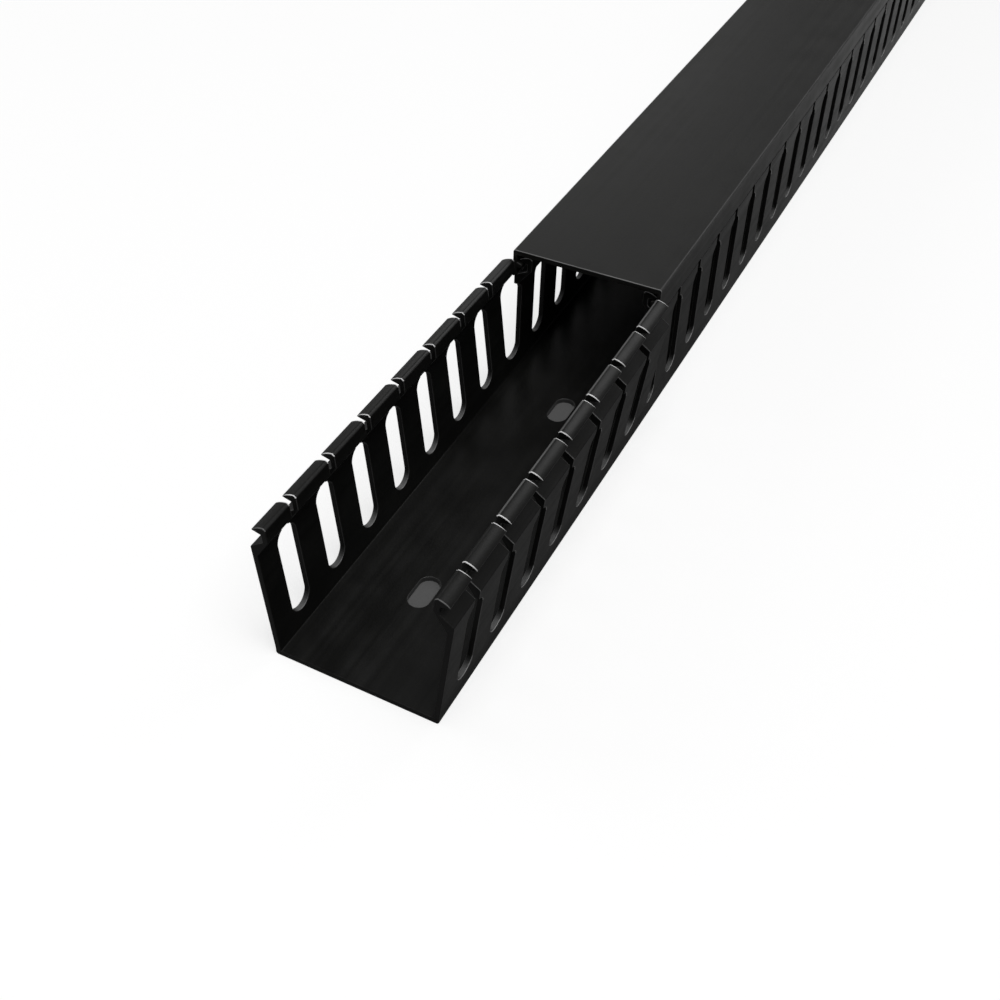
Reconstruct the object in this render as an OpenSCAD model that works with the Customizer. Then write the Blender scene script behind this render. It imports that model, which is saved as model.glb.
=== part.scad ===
// Open-slot wiring duct of rigid black plastic: a U-shaped base with slotted walls
// and a clip-on cover that is slid back to show the open end.
// X runs across the duct, Y along it away from the open end, Z up.
// The origin lies on the underside, in the middle of the base.

/* [Stock] */
// length of the base, and of the cover cut with it
duct_l = 1000; // [300:20:2000]
// width over the outer wall faces
base_w = 54; // [36:1:100]
// height of the base to the top of the heads
base_h = 50; // [40:0.1:100]
// thickness of the walls and necks
wall_t = 1.8; // [1.4:0.1:2.4]
// thickness of the floor
floor_t = 1.8; // [1.4:0.1:3]
// bevel of the two long edges of the underside
edge_bevel = 0.6; // [0.2:0.1:1]

/* [Heads] */
// height from the shoulder of the wall to the top of the head
recess_h = 8; // [7.5:0.1:12]
// distance the neck is set in from the outer wall face
set_in = 4.8; // [4.5:0.1:6]
// rise of the slanted jog between shoulder and neck
jog_rise = 2.6; // [2:0.1:3]
// depth below the shoulder at which the inner wall face starts to slant inward
strut_drop = 3.1; // [2.5:0.1:4]
// rise of that inner slant up to the neck
strut_rise = 6; // [4.5:0.1:6.5]
// distance the tip of the head stands in from the outer wall face
tip_in = 1.9; // [1.7:0.1:2]
// drop from the top of the domed head to the land on its tip
dome_drop = 1.2; // [1:0.1:1.8]
// height of the land on the tip
tip_land = 0.3; // [0.3:0.1:0.6]
// drop of the head's underside from the tip to the neck
hook_drop = 1.1; // [0.6:0.1:1.3]
// bevel of the head's inner top edge
head_bevel = 0.7; // [0.3:0.1:1]

/* [Slots] */
// distance from one slot to the next
slot_pitch = 20; // [16:1:30]
// distance of the first slot's middle from the open end
slot_first = 13.5; // [11:0.5:16]
// width of a slot between two fingers
slot_w = 9; // [6:0.5:10]
// height of the bottom of a slot above the underside
slot_z = 7.5; // [7:0.5:14]
// height from the top of a slot to the shoulder
tooth_h = 3.6; // [1.4:0.1:4]
// height over which the fingers draw together below the slit
arch_h = 4.2; // [3:0.1:8]
// width of the slit between two heads
slit_w = 3; // [2:0.2:4]
// least length of finger left at the far end
end_land = 6; // [6:1:12]

/* [Spring of the walls] */
// number of fingers on each wall that the cover does not hold
free_fingers = 8; // [0:1:14]
// outward lean of those fingers, degrees
free_lean = 6.5; // [0:0.5:9]

/* [Mounting holes] */
// width of an oblong hole in the floor
hole_w = 7; // [4:0.5:8]
// length of an oblong hole
hole_l = 13.5; // [10:0.5:20]
// distance of the first hole's middle from the open end
hole_first = 40.5; // [30:0.5:60]
// distance from one hole to the next
hole_pitch = 100; // [50:10:200]

/* [Cover] */
// thickness of the cover's top
cover_t = 2; // [1.4:0.1:2.4]
// thickness of the cover's side flanges
flange_t = 1.5; // [1.2:0.1:1.5]
// bevel of the cover's two upper edges
cover_bevel = 0.5; // [0.2:0.1:0.8]
// height of the cover's underside above the heads
top_gap = 1; // [0.3:0.1:1.4]
// clearance of the flanges and lips from the base
cover_gap = 0.3; // [0.25:0.05:0.4]
// reach of the catch lip inward from the flange
lip_reach = 1.9; // [1.2:0.1:2.2]
// height of the catch lip where it meets the flange
lip_h = 2.2; // [1.4:0.1:2.4]

/* [Hidden] */
eps = 0.01;
// neighbouring pieces of a cut run this far into each other
lap = 0.5;
// arcs are this much oversize, so that they meet straight sides at a slight angle
arc_over = 0.1;
half_w = base_w / 2;
inner_x = half_w - wall_t;
shoulder_z = base_h - recess_h;
neck_out = half_w - set_in;
neck_in = neck_out - wall_t;
neck_z = shoulder_z + jog_rise;
jog_slope = jog_rise / set_in;
strut_z = shoulder_z - strut_drop;
inner_neck_z = strut_z + strut_rise;
tip_x = half_w - tip_in;
tip_z = base_h - dome_drop - tip_land;
hook_z = tip_z - hook_drop;
hook_slope = hook_drop / (tip_x - neck_out);
// the dome is highest a little outside the head's inner edge
dome_in = tip_x - neck_in - head_bevel;
dome_r = (dome_in * dome_in + dome_drop * dome_drop) / (2 * dome_drop);
slot_r = slot_w / 2 + arc_over;
slot_top = shoulder_z - tooth_h;
slot_n = floor((duct_l - slot_first - slot_w / 2 - end_land) / slot_pitch) + 1;
arch_z = slot_top - arch_h;
// each side of the arch is one arc
arch_sag = (slot_w - slit_w) / 2 + arc_over;
arch_r = (arch_h * arch_h + arch_sag * arch_sag) / (2 * arch_sag);
arch_x = slit_w / 2 + arch_sag - arch_r;
free_n = min(free_fingers, slot_n);
// the covered walls start in the middle of the slit behind the last free finger
free_l = free_n == 0 ? 0 : slot_first + (free_n - 1) * slot_pitch;
// the walls bend outward at their foot, level with the floor
root_x = half_w - wall_t / 2;
root_z = floor_t;
hole_n = floor((duct_l - 2 * hole_first) / hole_pitch) + 1;
cover_y = free_l;
cover_top = base_h + top_gap + cover_t;
flange_in = half_w - flange_t;
flange_z = shoulder_z + cover_gap;
flange_rise = flange_t * jog_slope;
lip_x = flange_in - lip_reach;
// the lip follows the head's underside at the clearance
lip_top_out = tip_z - cover_gap - eps;
lip_top_in = tip_z - hook_slope * (tip_x - lip_x) - cover_gap * sqrt(1 + hook_slope * hook_slope);
lip_low_in = lip_top_in - lip_h / 2;
lip_low_out = lip_top_out - lip_h;
// half outline of the cover, from the middle of its underside round to the middle of its top
cover_side = [
    [0, cover_top - cover_t],
    [flange_in, cover_top - cover_t],
    [flange_in, lip_top_out],
    [lip_x, lip_top_in],
    [lip_x, lip_low_in],
    [flange_in, lip_low_out],
    [flange_in, flange_z + flange_rise],
    [half_w, flange_z],
    [half_w, cover_top - cover_bevel],
    [half_w - cover_bevel, cover_top]
];

// a point of the right wall, turned outward about the foot of the wall
function lean_out(x, z, a) = [
    root_x + (x - root_x) * cos(a) + (z - root_z) * sin(a),
    root_z - (x - root_x) * sin(a) + (z - root_z) * cos(a)
];

// half outline of the base, from the middle of its underside round to the middle of its floor
function base_side(a) = [
    [half_w - edge_bevel, 0],
    [half_w, edge_bevel],
    [half_w, root_z],
    lean_out(half_w, shoulder_z, a),
    lean_out(neck_out, neck_z, a),
    lean_out(neck_out, hook_z, a),
    lean_out(tip_x, tip_z, a),
    lean_out(tip_x, base_h, a),
    lean_out(neck_in + head_bevel, base_h, a),
    lean_out(neck_in, base_h - head_bevel, a),
    lean_out(neck_in, inner_neck_z, a),
    lean_out(inner_x, strut_z, a),
    [inner_x, root_z]
];

// the other half of an outline, so that both halves make one loop
function mirrored(side) = [for (i = [len(side) - 1:-1:0]) [-side[i][0], side[i][1]]];

// section of the base with its fingers leaning out
module base_section(lean) {
    difference() {
        polygon(concat(base_side(lean), mirrored(base_side(lean))));
        both_walls()
            head_dome_cut(lean);
    }
}

// what the rounded top of the head leaves out of its corner
module head_dome_cut(lean) {
    translate([root_x, root_z])
        rotate(-lean)
            translate([-root_x, -root_z])
                difference() {
                    translate([neck_in + head_bevel + lap, tip_z + tip_land / 2])
                        square([tip_x - neck_in, dome_drop + tip_land + lap]);
                    translate([tip_x - dome_in, base_h - dome_r])
                        circle(r = dome_r, $fn = 96);
                }
}

// one slot seen from the side, from the slot's middle
module slot_shape() {
    intersection() {
        translate([-slot_w / 2, slot_z])
            square([slot_w, arch_z + lap - slot_z]);
        union() {
            translate([0, slot_z + slot_r])
                circle(r = slot_r, $fn = 64);
            translate([-slot_w, slot_z + slot_r])
                square([2 * slot_w, slot_top]);
        }
    }
    intersection() {
        translate([-slot_w / 2, arch_z])
            square([slot_w, arch_h]);
        translate([arch_x, arch_z])
            circle(r = arch_r, $fn = 96);
        translate([-arch_x, arch_z])
            circle(r = arch_r, $fn = 96);
    }
    translate([-slit_w / 2, slot_top - lap])
        square([slit_w, base_h]);
}

// at a distance from the open end
module along(y) {
    translate([0, y - duct_l / 2, 0])
        children();
}

// a length of a section, from one place along the duct to another
module run(from, to) {
    along(to)
        rotate([90, 0, 0])
            linear_extrude(to - from)
                children();
}

module both_walls() {
    children();
    mirror([1, 0, 0])
        children();
}

module base() {
    color([0.045, 0.045, 0.05])
    difference() {
        union() {
            run(free_l, duct_l)
                base_section(0);
            if (free_n > 0) {
                run(0, free_l)
                    base_section(free_lean);
            }
        }
        for (i = [0:slot_n - 1]) {
            along(slot_first + i * slot_pitch)
                rotate([90, 0, 90])
                    linear_extrude(2 * base_w, center = true)
                        slot_shape();
        }
        for (i = [0:hole_n - 1]) {
            along(hole_first + i * hole_pitch)
                linear_extrude(4 * floor_t, center = true)
                    hole_shape();
        }
    }
}

// oblong hole, long way along the duct
module hole_shape() {
    translate([-hole_w / 2, -(hole_l - hole_w) / 2])
        square([hole_w, hole_l - hole_w]);
    translate([0, (hole_l - hole_w) / 2])
        circle(d = hole_w, $fn = 48);
    translate([0, -(hole_l - hole_w) / 2])
        circle(d = hole_w, $fn = 48);
}

module cover() {
    color([0.05, 0.05, 0.055])
    run(cover_y, cover_y + duct_l)
        polygon(concat(cover_side, mirrored(cover_side)));
}

base();
cover();
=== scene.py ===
import math
import bmesh
import bpy
from mathutils import Matrix, Vector


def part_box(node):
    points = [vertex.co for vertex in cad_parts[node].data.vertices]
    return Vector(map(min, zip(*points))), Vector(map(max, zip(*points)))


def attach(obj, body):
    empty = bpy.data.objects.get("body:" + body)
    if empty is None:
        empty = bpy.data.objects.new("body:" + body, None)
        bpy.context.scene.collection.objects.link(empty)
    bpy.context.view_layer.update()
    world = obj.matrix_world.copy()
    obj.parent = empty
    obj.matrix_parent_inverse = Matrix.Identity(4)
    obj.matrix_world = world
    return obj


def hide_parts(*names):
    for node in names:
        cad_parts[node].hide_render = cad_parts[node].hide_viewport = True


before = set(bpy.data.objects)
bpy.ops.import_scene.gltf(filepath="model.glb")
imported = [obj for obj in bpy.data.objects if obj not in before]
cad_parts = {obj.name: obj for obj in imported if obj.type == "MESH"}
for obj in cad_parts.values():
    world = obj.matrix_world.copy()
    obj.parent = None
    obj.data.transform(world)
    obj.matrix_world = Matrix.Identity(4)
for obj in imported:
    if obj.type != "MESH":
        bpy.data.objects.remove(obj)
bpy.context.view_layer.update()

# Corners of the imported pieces, in metres
BASE_LOW, BASE_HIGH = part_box("base")
COVER_LOW, COVER_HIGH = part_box("cover")
OPEN_END = BASE_LOW[1]

# Sizes in millimetres, the same as in the part's source. Y counts from the open end here.
MM = 0.001
DUCT_L = (BASE_HIGH[1] - BASE_LOW[1]) / MM
HALF_W = COVER_HIGH[0] / MM
COVER_TOP = COVER_HIGH[2] / MM
FLANGE_Z = COVER_LOW[2] / MM
COVER_Y = (COVER_LOW[1] - OPEN_END) / MM
COVER_L = (COVER_HIGH[1] - COVER_LOW[1]) / MM

WALL_T = 1.8
FLOOR_T = 1.8
EDGE_BEVEL = 0.6
BASE_H = 50.0
SHOULDER_Z = 42.0
SET_IN = 4.8
JOG_RISE = 2.6
STRUT_DROP = 3.1
STRUT_RISE = 6.0
TIP_IN = 1.9
DOME_DROP = 1.2
TIP_LAND = 0.3
HOOK_DROP = 1.1
HEAD_BEVEL = 0.7

SLOT_PITCH = 20.0
SLOT_FIRST = 13.5
SLOT_W = 9.0
SLOT_Z = 7.5
SLOT_TOP = 38.4
ARCH_H = 4.2
SLIT_W = 3.0
END_LAND = 6.0
# Arcs are this much oversize, so that they meet straight sides at a slight angle
ARC_OVER = 0.1

FREE_FINGERS = 8
FREE_LEAN = 6.5

HOLE_W = 7.0
HOLE_L = 13.5
HOLE_FIRST = 40.5
HOLE_PITCH = 100.0

COVER_T = 2.0
FLANGE_T = 1.5
COVER_BEVEL = 0.5
COVER_GAP = 0.3
LIP_REACH = 1.9
LIP_H = 2.2

# What follows from those sizes
INNER_X = HALF_W - WALL_T
NECK_OUT = HALF_W - SET_IN
NECK_IN = NECK_OUT - WALL_T
NECK_Z = SHOULDER_Z + JOG_RISE
JOG_SLOPE = JOG_RISE / SET_IN
STRUT_Z = SHOULDER_Z - STRUT_DROP
INNER_NECK_Z = STRUT_Z + STRUT_RISE
TIP_X = HALF_W - TIP_IN
TIP_Z = BASE_H - DOME_DROP - TIP_LAND
HOOK_Z = TIP_Z - HOOK_DROP
HOOK_SLOPE = HOOK_DROP / (TIP_X - NECK_OUT)
DOME_IN = TIP_X - NECK_IN - HEAD_BEVEL
DOME_R = (DOME_IN ** 2 + DOME_DROP ** 2) / (2 * DOME_DROP)
SLOT_R = SLOT_W / 2 + ARC_OVER
SLOT_N = math.floor((DUCT_L - SLOT_FIRST - SLOT_W / 2 - END_LAND) / SLOT_PITCH) + 1
ARCH_Z = SLOT_TOP - ARCH_H
ARCH_SAG = (SLOT_W - SLIT_W) / 2 + ARC_OVER
ARCH_R = (ARCH_H ** 2 + ARCH_SAG ** 2) / (2 * ARCH_SAG)
ARCH_X = SLIT_W / 2 + ARCH_SAG - ARCH_R
ROOT_X = HALF_W - WALL_T / 2
ROOT_Z = FLOOR_T
HOLE_N = math.floor((DUCT_L - 2 * HOLE_FIRST) / HOLE_PITCH) + 1

# The rest is finer than the part's source. The walls start to lean this high.
FOOT_Z = ROOT_Z + 0.5

# Radii of the rounded corners of the base's section and of the cover's
SHOULDER_R, JOG_R, HOOK_R, TIP_R, HEAD_R, STRUT_R = 0.45, 0.5, 0.3, 0.2, 0.3, 0.6
EDGE_R, FLOOR_R = 0.5, 0.4
COVER_EDGE_R, COVER_INNER_R, FLANGE_OUTER_R, FLANGE_INNER_R = 0.6, 0.5, 0.25, 0.3
LIP_TOP_R, LIP_TIP_R, LIP_FOOT_R = 0.2, 0.25, 0.3

# Steps in which a rounded corner, a cut edge and the arcs are made
CORNER_STEPS, RIM_STEPS = 3, 2
ARC_STEPS, ARCH_STEPS, DOME_STEPS, HOLE_STEPS = 9, 6, 8, 6
# A corner whose half angle is wider than this stays as it is
NEARLY_STRAIGHT = math.radians(88)
# Least cosine between a side and the corner's direction, so that an offset corner isn't drawn out too far
LEAST_COSINE = 0.6
# Points nearer than this are one point, and edges shorter than this are dissolved, in metres
MERGE, SHORTEST = 2e-6, 1e-6

# Rounding of the cut edges, and the pale margins beside them on the heads and on the cover, where highlights
# are painted
CUT_R = 0.18
WHITE_W = 0.2
COVER_MARGIN = 0.08
# Steps of a cut edge: how far back from the cut, and how deep below the face
RIM = [(CUT_R * (1 - math.sin(a)), CUT_R * (1 - math.cos(a)))
       for a in (math.pi / 2 * i / RIM_STEPS for i in range(RIM_STEPS + 1))]

# Name of the value that each face has for how pale it is painted: partly pale cut edges, mostly painted
# highlights and glints
PALE_AND_GLINT_LAYER = "pale_and_glint"
# How pale the rims are painted, partly pale cut edges and partly painted highlights: the tops of the heads
# most, then the painted glints on the arches and bottoms of the slots, the outer faces more than the inner, and
# the cut ends of the duct a little
HEAD_RIM, SILL_RIM, ARCH_RIM, WALL_RIM, INNER_RIM, END_RIM = 1.0, 0.4, 0.6, 0.15, 0.05, 0.12
# Painted highlights on the rims of the cover's cut ends: on its top more than on its flanges
COVER_RIM, FLANGE_RIM = 0.25, 0.12
# Heights between which the painted highlight on a head's rim grows from nothing to all of it, palest at the top
WHITE_Z, WHITE_TOP = TIP_Z - 0.1, BASE_H - 0.1
# Painted glints on the round bottoms of the slots: how pale they are in their middle, on their cut faces and on
# their inner rims, and the part of their round over which that fades
SILL_FACE, SILL_INNER, SILL_FADE = 0.15, 0.3, 0.8
# Painted highlights along the long edges of the heads' tips and of the cover
HEAD_TIP_GLINT, COVER_EDGE_GLINT = 0.03, 0.04
# The painted highlight along a head's tip lies this far out from the neck or further
TIP_OUT = 1.0
# The painted highlights on the cover's edges lie in a band this wide on its top and on its sides
COVER_BAND = 0.8
# A painted highlight along the inner edges of the right wall's heads: how pale, from where on along the duct,
# and how far below their bevel
INNER_EDGE_GLINT, INNER_GLINT_FROM_Y, INNER_GLINT_BELOW = 0.16, 30.0, 0.4


# Outlines

def clamped(value):
    return min(max(value, 0), 1)


def arc(cx, cy, r, start, end, steps):
    """Points on a circle, from one angle to another, in degrees."""
    angles = [math.radians(start + (end - start) * i / steps) for i in range(steps + 1)]
    return [(cx + r * math.cos(a), cy + r * math.sin(a)) for a in angles]


def rounded(corners):
    """An open outline of (x, z, radius) corners, with each corner turned into an arc of its radius."""
    out = [corners[0][:2]]
    for (ax, az, _), (bx, bz, r), (cx, cz, _) in zip(corners, corners[1:], corners[2:]):
        b = Vector((bx, bz))
        to_a = (Vector((ax, az)) - b).normalized()
        to_c = (Vector((cx, cz)) - b).normalized()
        half = to_a.angle(to_c, math.pi) / 2
        if r <= 0 or half > NEARLY_STRAIGHT:
            out.append((bx, bz))
            continue
        reach = r / math.tan(half)
        middle = b + (to_a + to_c).normalized() * (r / math.sin(half))
        first = b + to_a * reach - middle
        last = b + to_c * reach - middle
        turn = first.angle_signed(last)
        for i in range(CORNER_STEPS + 1):
            out.append(tuple(middle + Matrix.Rotation(-turn * i / CORNER_STEPS, 2) @ first))
    out.append(corners[-1][:2])
    return out


def normals_left(points, closed):
    """Directions to the left at an outline's points, longer at corners, so that an offset stays parallel."""
    out = []
    count = len(points)
    for i, p in enumerate(points):
        before = points[i - 1] if closed or i > 0 else None
        after = points[(i + 1) % count] if closed or i < count - 1 else None
        sides = []
        for a, b in ((before, p), (p, after)):
            if a is not None and b is not None:
                d = Vector((b[0] - a[0], b[1] - a[1])).normalized()
                sides.append(Vector((-d.y, d.x)))
        n = sum(sides, Vector((0, 0))).normalized()
        out.append(n / max(n.dot(sides[0]), LEAST_COSINE))
    return out


def mirrored(row, mirror):
    """A row of points, or with a mirror of -1 the same row on the left wall."""
    return [(mirror * x, y, z) for x, y, z in row]


def end_rows(outline, inward, y, side, steps):
    """Copies of an outline at an end of a piece: each a step back from the cut and deep below the faces."""
    return [[(x + deep * n.x, y + side * back, z + deep * n.y) for (x, z), n in zip(outline, inward)]
            for back, deep in steps]


class Skin:
    """Collects faces in millimetres and makes one closed mesh of them."""

    def __init__(self):
        self.faces = []

    def face(self, *points, white=0.0):
        self.faces.append(([Vector((x * MM, OPEN_END + y * MM, z * MM)) for x, y, z in points], white))

    def rows(self, rows, closed=False, white=None):
        """Quads between neighbouring rows of points, each painted as pale as its column says."""
        for a, b in zip(rows, rows[1:]):
            last = len(a) if closed else len(a) - 1
            for i in range(last):
                j = (i + 1) % len(a)
                self.face(a[i], a[j], b[j], b[i], white=white[i] if white else 0.0)

    def mesh(self, name):
        bm = bmesh.new()
        # Each face keeps how pale it is painted, for its pale cut edge and painted highlight
        pale_and_glint = bm.faces.layers.float.new(PALE_AND_GLINT_LAYER)
        for points, white in self.faces:
            bm.faces.new([bm.verts.new(p) for p in points])[pale_and_glint] = white
        bmesh.ops.remove_doubles(bm, verts=bm.verts, dist=MERGE)
        bmesh.ops.dissolve_degenerate(bm, edges=bm.edges, dist=SHORTEST)
        bmesh.ops.recalc_face_normals(bm, faces=bm.faces)
        for f in bm.faces:
            f.smooth = True
        mesh = bpy.data.meshes.new(name)
        bm.to_mesh(mesh)
        bm.free()
        return mesh


# Section of the base

def lean_out(x, z, lean):
    """A point of the right wall, turned outward about the foot of the wall."""
    a = math.radians(lean)
    dx, dz = x - ROOT_X, z - ROOT_Z
    return ROOT_X + dx * math.cos(a) + dz * math.sin(a), ROOT_Z - dx * math.sin(a) + dz * math.cos(a)


def wall_x(z, lean, x, top_z):
    """Where the wall face that stands at x is at a height, on a wall that leans out above its foot."""
    if z <= FOOT_Z:
        return x
    end_x, end_z = lean_out(x, top_z, lean)
    return x + (end_x - x) * (z - FOOT_Z) / (end_z - FOOT_Z)


def outer_x(z, lean):
    return wall_x(z, lean, HALF_W, SHOULDER_Z)


def inner_x(z, lean):
    return wall_x(z, lean, INNER_X, STRUT_Z)


def head_outline(lean):
    """From the outer wall face at the top of a slot, over the head, to the inner face at the same height."""
    corners = [
        (HALF_W, SHOULDER_Z, SHOULDER_R), (NECK_OUT, NECK_Z, JOG_R), (NECK_OUT, HOOK_Z, HOOK_R),
        (TIP_X, TIP_Z, TIP_R),
    ]
    spread = math.degrees(math.asin(DOME_IN / DOME_R))
    dome = arc(TIP_X - DOME_IN, BASE_H - DOME_R, DOME_R, 90 - spread, 90, DOME_STEPS)
    corners += [(x, z, TIP_R if i == 0 else 0) for i, (x, z) in enumerate(dome)]
    corners += [
        (NECK_IN, BASE_H - HEAD_BEVEL, HEAD_R), (NECK_IN, INNER_NECK_Z, STRUT_R), (INNER_X, STRUT_Z, STRUT_R),
    ]
    leaned = [(*lean_out(x, z, lean), r) for x, z, r in corners]
    start = (outer_x(SLOT_TOP, lean), SLOT_TOP, 0)
    end = (inner_x(SLOT_TOP, lean), SLOT_TOP, 0)
    return rounded([start] + leaned + [end])


def slot_outline():
    """Half of a slot below its slit: (half width, height) from the middle of its bottom up to the slit."""
    bottom_turn = math.degrees(math.asin(SLOT_W / 2 / SLOT_R))
    arch_start = math.degrees(math.acos((SLOT_W / 2 - ARCH_X) / ARCH_R))
    arch_end = math.degrees(math.acos((SLIT_W / 2 - ARCH_X) / ARCH_R))
    bottom = arc(0, SLOT_Z + SLOT_R, SLOT_R, -90, -90 + bottom_turn, ARC_STEPS)
    return bottom + arc(ARCH_X, ARCH_Z, ARCH_R, arch_start, arch_end, ARCH_STEPS)


def slot_into(outline):
    """The direction into the finger, or into the strip below, at each point of half a slot."""
    before = (-outline[1][0], outline[1][1])
    after = (SLIT_W / 2, BASE_H)
    return [-n for n in normals_left([before] + outline + [after], False)[1:-1]]


SLOT_HALF = slot_outline()
SLOT_INTO = slot_into(SLOT_HALF)


# Fingers

class Limit:
    """One end of a finger: a slot beside it, or the cut end of the duct, and the lean in the middle of that."""

    def __init__(self, y, side, slotted, middle_lean):
        self.y, self.side, self.slotted, self.middle_lean = y, side, slotted, middle_lean

    def lean(self, level, lean):
        """Under a slot between two leans the wall turns from the one to the other."""
        part = min(SLOT_HALF[level][0] / (SLOT_W / 2), 1) if level <= ARC_STEPS else 1
        return self.middle_lean + (lean - self.middle_lean) * part

    def wall(self, level, back):
        """(y, height) at a level of the slot's outline, a step back from the cut."""
        half, z = SLOT_HALF[level]
        if not self.slotted:
            return self.y + self.side * back, z
        into = SLOT_INTO[level]
        return self.y + self.side * (half + back * into.x), z + back * into.y

    def head(self, back):
        """y beside the slit, or at the duct's end, a step back from the cut."""
        return self.y + self.side * ((SLIT_W / 2 if self.slotted else 0) + back)


def domed(z):
    """0 below the tip of a head, rising to 1 at its top."""
    return clamped((z - WHITE_Z) / (WHITE_TOP - WHITE_Z))


def finger_rows(limit, lean, mirror):
    """Rows of points round the rounded end of a finger, from its faces to its cut."""
    head = head_outline(lean)
    inward = normals_left(head, False)
    rows = []
    for margin, back, deep in [(WHITE_W, *RIM[0])] + [(0, *step) for step in RIM]:
        row = []
        for level in range(len(SLOT_HALF) - 1):
            y, z = limit.wall(level, back)
            row.append((outer_x(z, limit.lean(level, lean)) - deep, y, z))
        for k, ((x, z), n) in enumerate(zip(head, inward)):
            y, drop = limit.head(back + margin * domed(z)), 0
            if k in (0, len(head) - 1):
                y, at = limit.wall(len(SLOT_HALF) - 1, back)
                drop = at - SLOT_TOP
            row.append((x + deep * n.x, y, z + deep * n.y + drop))
        for level in reversed(range(len(SLOT_HALF) - 1)):
            y, z = limit.wall(level, back)
            row.append((inner_x(z, limit.lean(level, lean)) + deep, y, z))
        rows.append(mirrored(row, mirror))
    return rows


def sill_fade(k):
    """1 in the middle of a slot's bottom, falling to 0 as its round turns upright."""
    return max(1 - (k + 0.5) / (SILL_FADE * ARC_STEPS), 0)


def rim_white(limit, row):
    """How pale each column of a finger's rim is painted, from its outer face over the head to its inner face:
    pale cut edges with painted highlights, palest on the tops of the heads.
    """
    out = []
    for k, (a, b) in enumerate(zip(row, row[1:])):
        from_end = len(row) - 2 - k
        top = domed((a[2] + b[2]) / 2)
        if not limit.slotted:
            white = END_RIM if top > 0 else 0.0
        elif top > 0:
            white = HEAD_RIM * math.sqrt(top)
        # Painted glints on the rims of a slot's round bottom, fading on the inner rim as the round turns
        # upright
        elif k < ARC_STEPS:
            white = SILL_RIM
        elif from_end < ARC_STEPS:
            white = max(SILL_INNER * sill_fade(from_end), INNER_RIM)
        # Painted glint on the arch at the top of a slot, on one side of it only
        elif limit.side > 0 and ARC_STEPS < k < len(SLOT_HALF) - 1:
            white = ARCH_RIM
        else:
            white = WALL_RIM if k < len(row) / 2 else INNER_RIM
        out.append(white)
    return out


def long_glints(near, mirror):
    """Painted highlights along a finger: on its head's tip, and on its top's inner edge on the right wall's
    heads further along.
    """
    # Painted highlight on the inner top edge, on the right wall's heads only
    inner_glint = INNER_EDGE_GLINT if mirror > 0 and near.y > INNER_GLINT_FROM_Y else 0.0
    beside = [0.0] * (len(SLOT_HALF) - 1)
    upright = head_outline(0)
    out = []
    for a, b in zip(upright, upright[1:]):
        x, z = (a[0] + b[0]) / 2, (a[1] + b[1]) / 2
        tip = abs(z - TIP_Z) < TIP_LAND and x > NECK_OUT + TIP_OUT
        inner = z > BASE_H - HEAD_BEVEL - INNER_GLINT_BELOW and x < NECK_IN + HEAD_BEVEL
        out.append(HEAD_TIP_GLINT if tip else inner_glint if inner else 0.0)
    return beside + out + beside


def add_finger(skin, near, far, lean, mirror):
    """A finger with its rounded rims, its cut faces and its long faces between them."""
    rows = [finger_rows(limit, lean, mirror) for limit in (near, far)]
    walls = len(SLOT_HALF)
    for limit, rim in zip((near, far), rows):
        skin.rows(rim, white=rim_white(limit, rim[0]))
        cut = rim[-1]
        # Painted glint on the cut faces at the bottoms of the slots
        sill_glint = SILL_FACE if limit.slotted else 0.0
        pale = [sill_glint * sill_fade(k) for k in range(walls - 1)]
        skin.rows([cut[:walls], cut[::-1][:walls]], white=pale)
        skin.face(*cut[walls - 1:len(cut) - walls + 1])
    skin.rows([rows[0][0], rows[1][0]], white=long_glints(near, mirror))


# Floor and strips below the slots

def hole_ring(y, back):
    """Right and left half of an oblong outline round a hole, back from its edge, each from its near end on."""
    r = HOLE_W / 2 + back
    straight = (HOLE_L - HOLE_W) / 2
    right = arc(0, y - straight, r, -90, 0, HOLE_STEPS) + arc(0, y + straight, r, 0, 90, HOLE_STEPS)
    return right, [(-x, v) for x, v in right]


def add_floor_face(skin, z, edge_x, from_y, to_y):
    """A face of the floor in two halves that meet along the middle between the holes."""
    back = RIM[0][0]
    for half in (0, 1):
        points = [(0, from_y, z)]
        for i in range(HOLE_N):
            points += [(x, y, z) for x, y in hole_ring(HOLE_FIRST + i * HOLE_PITCH, back)[half]]
        side = edge_x if half == 0 else -edge_x
        skin.face(*points, (0, to_y, z), (side, to_y, z), (side, from_y, z))


def add_hole(skin, y):
    """The side of a mounting hole, with its rounded rims."""
    steps = [(back, FLOOR_T - deep) for back, deep in RIM] + [(back, deep) for back, deep in reversed(RIM)]
    for half in (0, 1):
        rings = [[(x, v, z) for x, v in hole_ring(y, back)[half]] for back, z in steps]
        skin.rows(rings, white=[INNER_RIM] * len(rings[0]))


def trough_outline(lean):
    """Below the slots: from the middle of the underside up the outer face, and from the inner face down
    to the middle of the floor."""
    low = rounded([(0, 0, 0), (HALF_W - EDGE_BEVEL, 0, EDGE_R), (HALF_W, EDGE_BEVEL, EDGE_R),
                   (HALF_W, FOOT_Z, 0), (outer_x(SLOT_Z, lean), SLOT_Z, 0)])
    inside = rounded([(inner_x(SLOT_Z, lean), SLOT_Z, 0), (INNER_X, FOOT_Z, 0),
                      (INNER_X, FLOOR_T, FLOOR_R), (0, FLOOR_T, 0)])
    return low, inside


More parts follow.
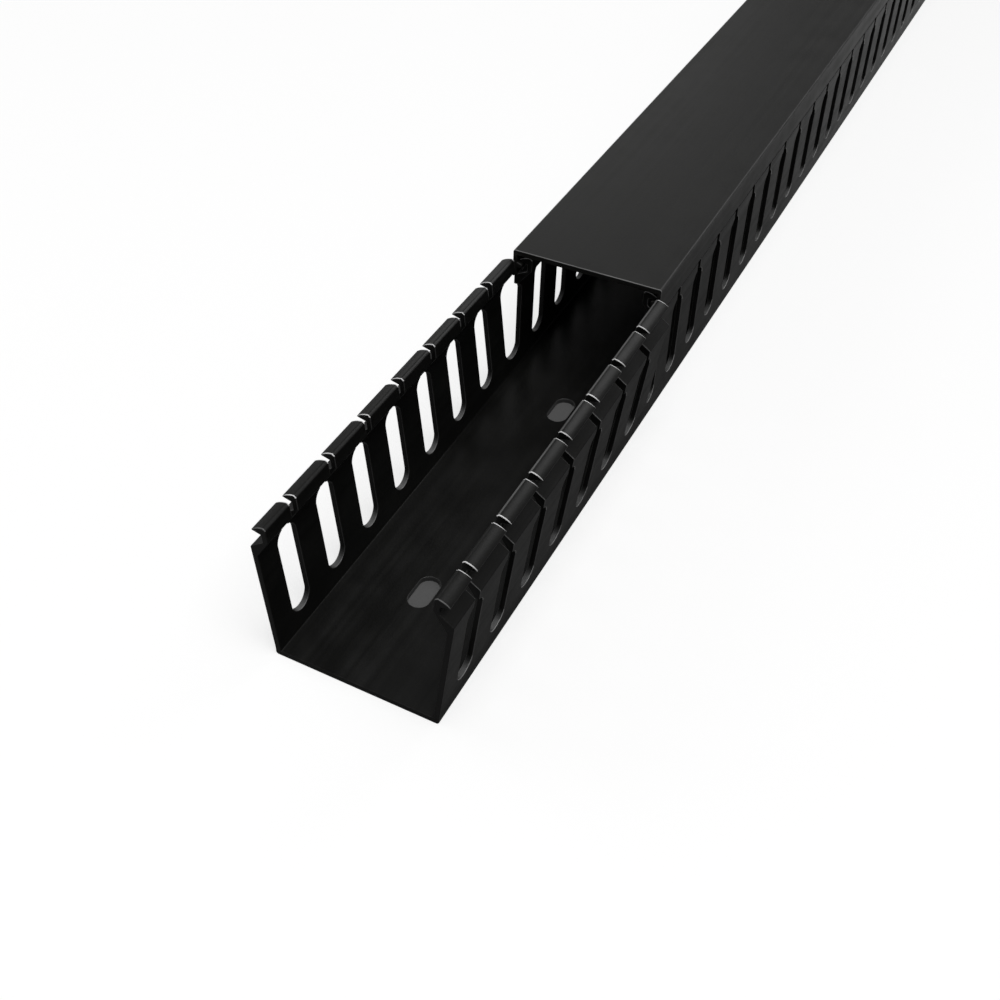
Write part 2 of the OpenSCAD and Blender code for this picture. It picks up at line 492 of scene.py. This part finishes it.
def add_trough(skin, stations):
    """The long faces below the slots. stations are (y, height, lean) along the bottoms of the slots."""
    low, inside = trough_outline(0)
    from_y, to_y = stations[0][0], stations[-1][0]
    strips = ((low[-2], low[-3], outer_x), (inside[1], inside[2], inner_x))
    for mirror in (1, -1):
        for chain in (low[1:-2], inside[2:-1]):
            skin.rows([[(mirror * x, y, z) for x, z in chain] for y in (from_y, to_y)])
        for (foot_x, foot_z), (x, z), face_x in strips:
            foot = [(mirror * foot_x, y, foot_z) for y, _, _ in stations]
            skin.face(*foot, (mirror * x, to_y, z), (mirror * x, from_y, z))
            skin.rows([foot, [(mirror * face_x(top, lean), y, top) for y, top, lean in stations]])
    add_floor_face(skin, 0, low[1][0], from_y, to_y)
    add_floor_face(skin, FLOOR_T, inside[-2][0], from_y, to_y)


def add_trough_end(skin, limit):
    """The cut end of the floor and of the strips below the slots, with its rounded rim."""
    cut = []
    for chain, k, sideways in zip(trough_outline(limit.middle_lean), (-1, 0), (-1, 1)):
        inward = normals_left(chain, False)
        inward[k] = Vector((sideways, 0))
        rows = end_rows(chain, inward, limit.y, limit.side, RIM)
        for mirror in (1, -1):
            skin.rows([mirrored(row, mirror) for row in rows])
        cut += rows[-1]
    skin.face(*cut, *mirrored(reversed(cut[1:-1]), -1))


# Whole pieces

def base_mesh():
    skin = Skin()
    back = RIM[0][0]
    ends = [Limit(0, 1, False, FREE_LEAN), Limit(DUCT_L, -1, False, 0)]
    limits = [ends[0]]
    stations = [(back, SLOT_Z, FREE_LEAN)]
    for i in range(SLOT_N):
        y = SLOT_FIRST + i * SLOT_PITCH
        # the middle of the slot behind the last free finger has half the lean
        lean = FREE_LEAN * clamped(FREE_FINGERS - 0.5 - i)
        limits += [Limit(y, -1, True, lean), Limit(y, 1, True, lean)]
        stations.append((y, SLOT_Z - back, lean))
    limits.append(ends[1])
    stations.append((DUCT_L - back, SLOT_Z, 0))
    for i in range(SLOT_N + 1):
        lean = FREE_LEAN if i < FREE_FINGERS else 0
        for mirror in (1, -1):
            add_finger(skin, limits[2 * i], limits[2 * i + 1], lean, mirror)
    add_trough(skin, stations)
    for i in range(HOLE_N):
        add_hole(skin, HOLE_FIRST + i * HOLE_PITCH)
    for limit in ends:
        add_trough_end(skin, limit)
    return skin.mesh("duct_base")


def cover_mesh():
    flange_in = HALF_W - FLANGE_T
    lip_x = flange_in - LIP_REACH
    lip_top_out = TIP_Z - COVER_GAP
    lip_top_in = TIP_Z - HOOK_SLOPE * (TIP_X - lip_x) - COVER_GAP * math.hypot(1, HOOK_SLOPE)
    half = rounded([
        (0, COVER_TOP - COVER_T, 0),
        (flange_in, COVER_TOP - COVER_T, COVER_INNER_R),
        (flange_in, lip_top_out, LIP_TOP_R),
        (lip_x, lip_top_in, LIP_TIP_R),
        (lip_x, lip_top_in - LIP_H / 2, LIP_TIP_R),
        (flange_in, lip_top_out - LIP_H, LIP_FOOT_R),
        (flange_in, FLANGE_Z + FLANGE_T * JOG_SLOPE, FLANGE_INNER_R),
        (HALF_W, FLANGE_Z, FLANGE_OUTER_R),
        (HALF_W, COVER_TOP - COVER_BEVEL, COVER_EDGE_R),
        (HALF_W - COVER_BEVEL, COVER_TOP, COVER_EDGE_R),
        (0, COVER_TOP, 0),
    ])
    loop = half + [(-x, z) for x, z in reversed(half[1:-1])]
    inward = normals_left(loop, True)
    band_z, band_x = COVER_TOP - COVER_BAND, HALF_W - COVER_BAND
    middles = [((abs(a[0]) + abs(b[0])) / 2, (a[1] + b[1]) / 2) for a, b in zip(loop, loop[1:] + loop[:1])]
    # Painted highlights: on the rims of the cover's cut ends, and along its long top edges
    rim = [COVER_RIM if z > band_z else FLANGE_RIM if x > band_x else 0.0 for x, z in middles]
    edge_glints = [COVER_EDGE_GLINT if z > band_z and x > band_x else 0.0 for x, z in middles]
    steps = [(RIM[0][0] + COVER_MARGIN, 0)] + RIM
    skin = Skin()
    ends = []
    for y, side in ((COVER_Y, 1), (COVER_Y + COVER_L, -1)):
        rows = end_rows(loop, inward, y, side, steps)
        skin.rows(rows, closed=True, white=rim)
        skin.face(*rows[-1])
        ends.append(rows[0])
    skin.rows(ends, closed=True, white=edge_glints)
    return skin.mesh("duct_cover")


# Nodes

# Sockets of a Mix node that mixes colours
MIX_FACTOR, MIX_FIRST, MIX_SECOND, MIX_RESULT = 0, 6, 7, 2


def add_node(tree, kind, inputs=None, **settings):
    """A new node in a tree. Each input is linked to the socket, or set to the value, that it is given."""
    node = tree.nodes.new(kind)
    for name, value in settings.items():
        setattr(node, name, value)
    for key, value in (inputs or {}).items():
        if isinstance(value, bpy.types.NodeSocket):
            tree.links.new(value, node.inputs[key])
        else:
            node.inputs[key].default_value = value
    return node


def object_place(tree):
    return add_node(tree, "ShaderNodeTexCoord").outputs["Object"]


def camera_ray(tree):
    return add_node(tree, "ShaderNodeLightPath").outputs["Is Camera Ray"]


def calculated(tree, operation, *values):
    """What a maths node makes of sockets and numbers."""
    return add_node(tree, "ShaderNodeMath", dict(enumerate(values)), operation=operation).outputs["Value"]


def noise(tree, place, scale, detail):
    inputs = {"Vector": place, "Scale": scale, "Detail": detail}
    return add_node(tree, "ShaderNodeTexNoise", inputs).outputs["Fac"]


def spread(tree, value, levels, results):
    """A value that goes from the first result to the second between two levels of another."""
    inputs = {"Value": value, "From Min": levels[0], "From Max": levels[1],
              "To Min": results[0], "To Max": results[1]}
    return add_node(tree, "ShaderNodeMapRange", inputs).outputs["Result"]


def diffuse(tree, colour):
    return add_node(tree, "ShaderNodeBsdfDiffuse", {"Color": colour}).outputs["BSDF"]


def mixed_shaders(tree, factor, first, second):
    return add_node(tree, "ShaderNodeMixShader", {0: factor, 1: first, 2: second}).outputs["Shader"]


# Materials

# Colour of the pale cut edges and of the painted highlights and glints on the rims
PALE_AND_GLINT_COLOUR = (0.8, 0.8, 0.8)
# Noise per metre: streaks across and along the duct, patches and grain
STREAK_SCALE, STREAK_DETAIL = (420, 6, 420), 3.0
PATCH_SCALE, PATCH_DETAIL = 70.0, 4.0
GRAIN_SCALE, GRAIN_DETAIL = 1800.0, 2.0
# Levels of the streaks times the patches between which the colour and the gloss change
COLOUR_LEVELS, GLOSS_LEVELS = (0.12, 0.42), (0.15, 0.38)
# Levels of the patches between which the pale edges and painted highlights grow, and what they are multiplied
# by there
UNEVEN_LEVELS, UNEVEN_AMOUNTS = (0.3, 0.6), (0.6, 1.0)
BUMP_STRENGTH, BUMP_DISTANCE = 0.12, 0.0002
# Dark and pale colour, specular level and range of roughness
BASE_LOOK = ((0.0029, 0.0029, 0.0026), (0.0056, 0.0056, 0.0052), 0.42, (0.3, 0.4))
COVER_LOOK = ((0.0046, 0.0046, 0.0041), (0.0086, 0.0086, 0.0078), 0.48, (0.34, 0.44))


def black_plastic(name, dark, pale, shine, rough):
    """Extruded black plastic: faint streaks along the duct, a fine grain and an uneven satin gloss."""
    material = bpy.data.materials.new(name)
    material.use_nodes = True
    tree = material.node_tree
    shader = tree.nodes["Principled BSDF"]
    shader.inputs["Specular IOR Level"].default_value = shine

    place = object_place(tree)
    stretched = add_node(tree, "ShaderNodeMapping", {"Vector": place, "Scale": STREAK_SCALE})
    streaks = noise(tree, stretched.outputs["Vector"], 1.0, STREAK_DETAIL)
    patches = noise(tree, place, PATCH_SCALE, PATCH_DETAIL)
    grain = noise(tree, place, GRAIN_SCALE, GRAIN_DETAIL)
    pattern = calculated(tree, "MULTIPLY", streaks, patches)

    colour = add_node(tree, "ShaderNodeValToRGB", {"Fac": pattern})
    for i, (level, tone) in enumerate(zip(COLOUR_LEVELS, (dark, pale))):
        colour.color_ramp.elements[i].position = level
        colour.color_ramp.elements[i].color = (*tone, 1)
    # Painted highlights and pale cut edges: each face's value mixes the colour towards pale
    pale_and_glint = add_node(tree, "ShaderNodeAttribute", attribute_name=PALE_AND_GLINT_LAYER).outputs["Fac"]
    uneven = spread(tree, patches, UNEVEN_LEVELS, UNEVEN_AMOUNTS)
    edged = add_node(tree, "ShaderNodeMix", {
        MIX_FACTOR: calculated(tree, "MULTIPLY", pale_and_glint, uneven),
        MIX_FIRST: colour.outputs["Color"],
        MIX_SECOND: (*PALE_AND_GLINT_COLOUR, 1),
    }, data_type="RGBA")
    tree.links.new(edged.outputs[MIX_RESULT], shader.inputs["Base Color"])

    tree.links.new(spread(tree, pattern, GLOSS_LEVELS, rough), shader.inputs["Roughness"])

    relief = calculated(tree, "ADD", grain, streaks)
    bump = add_node(tree, "ShaderNodeBump",
                    {"Height": relief, "Strength": BUMP_STRENGTH, "Distance": BUMP_DISTANCE})
    tree.links.new(bump.outputs["Normal"], shader.inputs["Normal"])
    return material


def add_piece(name, mesh, body, node, material):
    piece = bpy.data.objects.new(name, mesh)
    bpy.context.scene.collection.objects.link(piece)
    mesh.materials.append(material)
    weighted = piece.modifiers.new("even shading", "WEIGHTED_NORMAL")
    weighted.keep_sharp = True
    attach(piece, body)
    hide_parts(node)


base_plastic = black_plastic("base_plastic", *BASE_LOOK)
cover_plastic = black_plastic("cover_plastic", *COVER_LOOK)
add_piece("wiring_duct_base", base_mesh(), "base", "base", base_plastic)
add_piece("wiring_duct_cover", cover_mesh(), "cover", "cover", cover_plastic)


# Stage, in metres, with Y counted from the open end

FLOOR_SIZE = 30.0
# What the camera sees of the floor: a lit grey and a glow, and a painted shadow of grey under the duct
FLOOR_LIT, FLOOR_GLOW, FLOOR_PAINTED_SHADOW = 0.36, 0.7, 0.12
# What the floor throws back: a dim grey up to the first place, growing paler up to the second, painted light on
# the floor seen only in reflections and bounced light
FLOOR_NEAR, FLOOR_FAR = 0.13, 0.62
FLOOR_FROM, FLOOR_TO = 0.2, 0.75
# The painted shadow under the duct ends this far inside its outline, in millimetres
UNDER_IN = 1.5
UNDER_X, UNDER_Y = (HALF_W - UNDER_IN) * MM, (DUCT_L / 2 - UNDER_IN) * MM
# Strength of the world for light and for the camera
WORLD_LIGHT, WORLD_SEEN = 0.14, 0.78

# Soft round lamps: name, place, width and watts, all aimed at one point
LAMP_AIM = (0, 0.15, 0.03)
LAMPS = [
    ("key", (0.5, -0.3, 1.95), 1.6, 29),
    ("back", (-1.3, 2.3, 0.9), 1.6, 2.6),
    ("rear", (0.4, 1.8, 1.35), 1.0, 3.6),
    ("left", (-1.8, 0.1, 0.9), 1.6, 8),
]

# The photo's camera: lens and sensor width in millimetres, eye in metres, angles in degrees
LENS, SENSOR = 47.838, 36.0
EYE = (0.13727, -0.20230, 0.29701)
HEADING, PITCH, ROLL = 30.270, -39.816, -1.243
# The photo is a crop, so its middle lies off the lens's axis
SHIFT = (0.09190, -0.06650)
CLIP_START, CLIP_END = 0.01, 50.0


def staged(place):
    """A place that is counted from the open end, in the frame."""
    x, y, z = place
    return Vector((x, OPEN_END + y, z))


def grey(level):
    return level, level, level, 1


def pale_floor():
    """Floor that looks white and keeps a soft shadow, but throws little light back at the black plastic. Under
    the duct a shadow is painted in dim grey, and what it throws back is painted paler further back."""
    bpy.ops.mesh.primitive_plane_add(size=FLOOR_SIZE, location=(0, 0, 0))
    floor = bpy.context.object
    floor.name = "floor"
    material = bpy.data.materials.new("floor_white")
    material.use_nodes = True
    tree = material.node_tree
    tree.nodes.clear()

    glow = add_node(tree, "ShaderNodeEmission", {"Strength": FLOOR_GLOW}).outputs["Emission"]
    lit = diffuse(tree, grey(FLOOR_LIT))
    white = add_node(tree, "ShaderNodeAddShader", {0: lit, 1: glow}).outputs["Shader"]
    # Painted shadow: under the duct the camera sees a dim grey instead of the white
    under = diffuse(tree, grey(FLOOR_PAINTED_SHADOW))
    place = add_node(tree, "ShaderNodeSeparateXYZ", {"Vector": object_place(tree)}).outputs
    beside, ahead = [calculated(tree, "GREATER_THAN", calculated(tree, "ABSOLUTE", place[axis]), limit)
                     for axis, limit in (("X", UNDER_X), ("Y", UNDER_Y))]
    seen = mixed_shaders(tree, calculated(tree, "MAXIMUM", beside, ahead), under, white)

    # Painted light: what the floor throws back grows paler further back
    levels = (OPEN_END + FLOOR_FROM, OPEN_END + FLOOR_TO)
    dim = diffuse(tree, spread(tree, place["Y"], levels, (FLOOR_NEAR, FLOOR_FAR)))
    add_node(tree, "ShaderNodeOutputMaterial", {"Surface": mixed_shaders(tree, camera_ray(tree), dim, seen)})
    floor.data.materials.append(material)


def pale_world():
    """World that looks white to the camera and gives little light."""
    world = bpy.data.worlds.new("studio")
    world.use_nodes = True
    tree = world.node_tree
    back = tree.nodes["Background"]
    back.inputs["Color"].default_value = grey(1)
    strength = spread(tree, camera_ray(tree), (0.0, 1.0), (WORLD_LIGHT, WORLD_SEEN))
    tree.links.new(strength, back.inputs["Strength"])
    bpy.context.scene.world = world


def soft_light(name, place, size, power):
    lamp = bpy.data.lights.new(name, "AREA")
    lamp.shape = "DISK"
    lamp.size = size
    lamp.energy = power
    light = bpy.data.objects.new(name, lamp)
    light.location = staged(place)
    light.rotation_euler = (staged(LAMP_AIM) - staged(place)).to_track_quat("-Z", "Y").to_euler()
    bpy.context.scene.collection.objects.link(light)


def photo_camera():
    data = bpy.data.cameras.new("photo_camera")
    data.sensor_width = SENSOR
    data.lens = LENS
    data.shift_x, data.shift_y = SHIFT
    data.clip_start, data.clip_end = CLIP_START, CLIP_END
    camera = bpy.data.objects.new("photo_camera", data)
    turn = (Matrix.Rotation(math.radians(HEADING), 4, "Z")
            @ Matrix.Rotation(math.radians(90 + PITCH), 4, "X")
            @ Matrix.Rotation(math.radians(ROLL), 4, "Z"))
    camera.matrix_world = Matrix.Translation(staged(EYE)) @ turn
    bpy.context.scene.collection.objects.link(camera)
    bpy.context.scene.camera = camera


pale_floor()
pale_world()
for lamp in LAMPS:
    soft_light(*lamp)
photo_camera()
bpy.context.scene.view_settings.view_transform = "Standard"
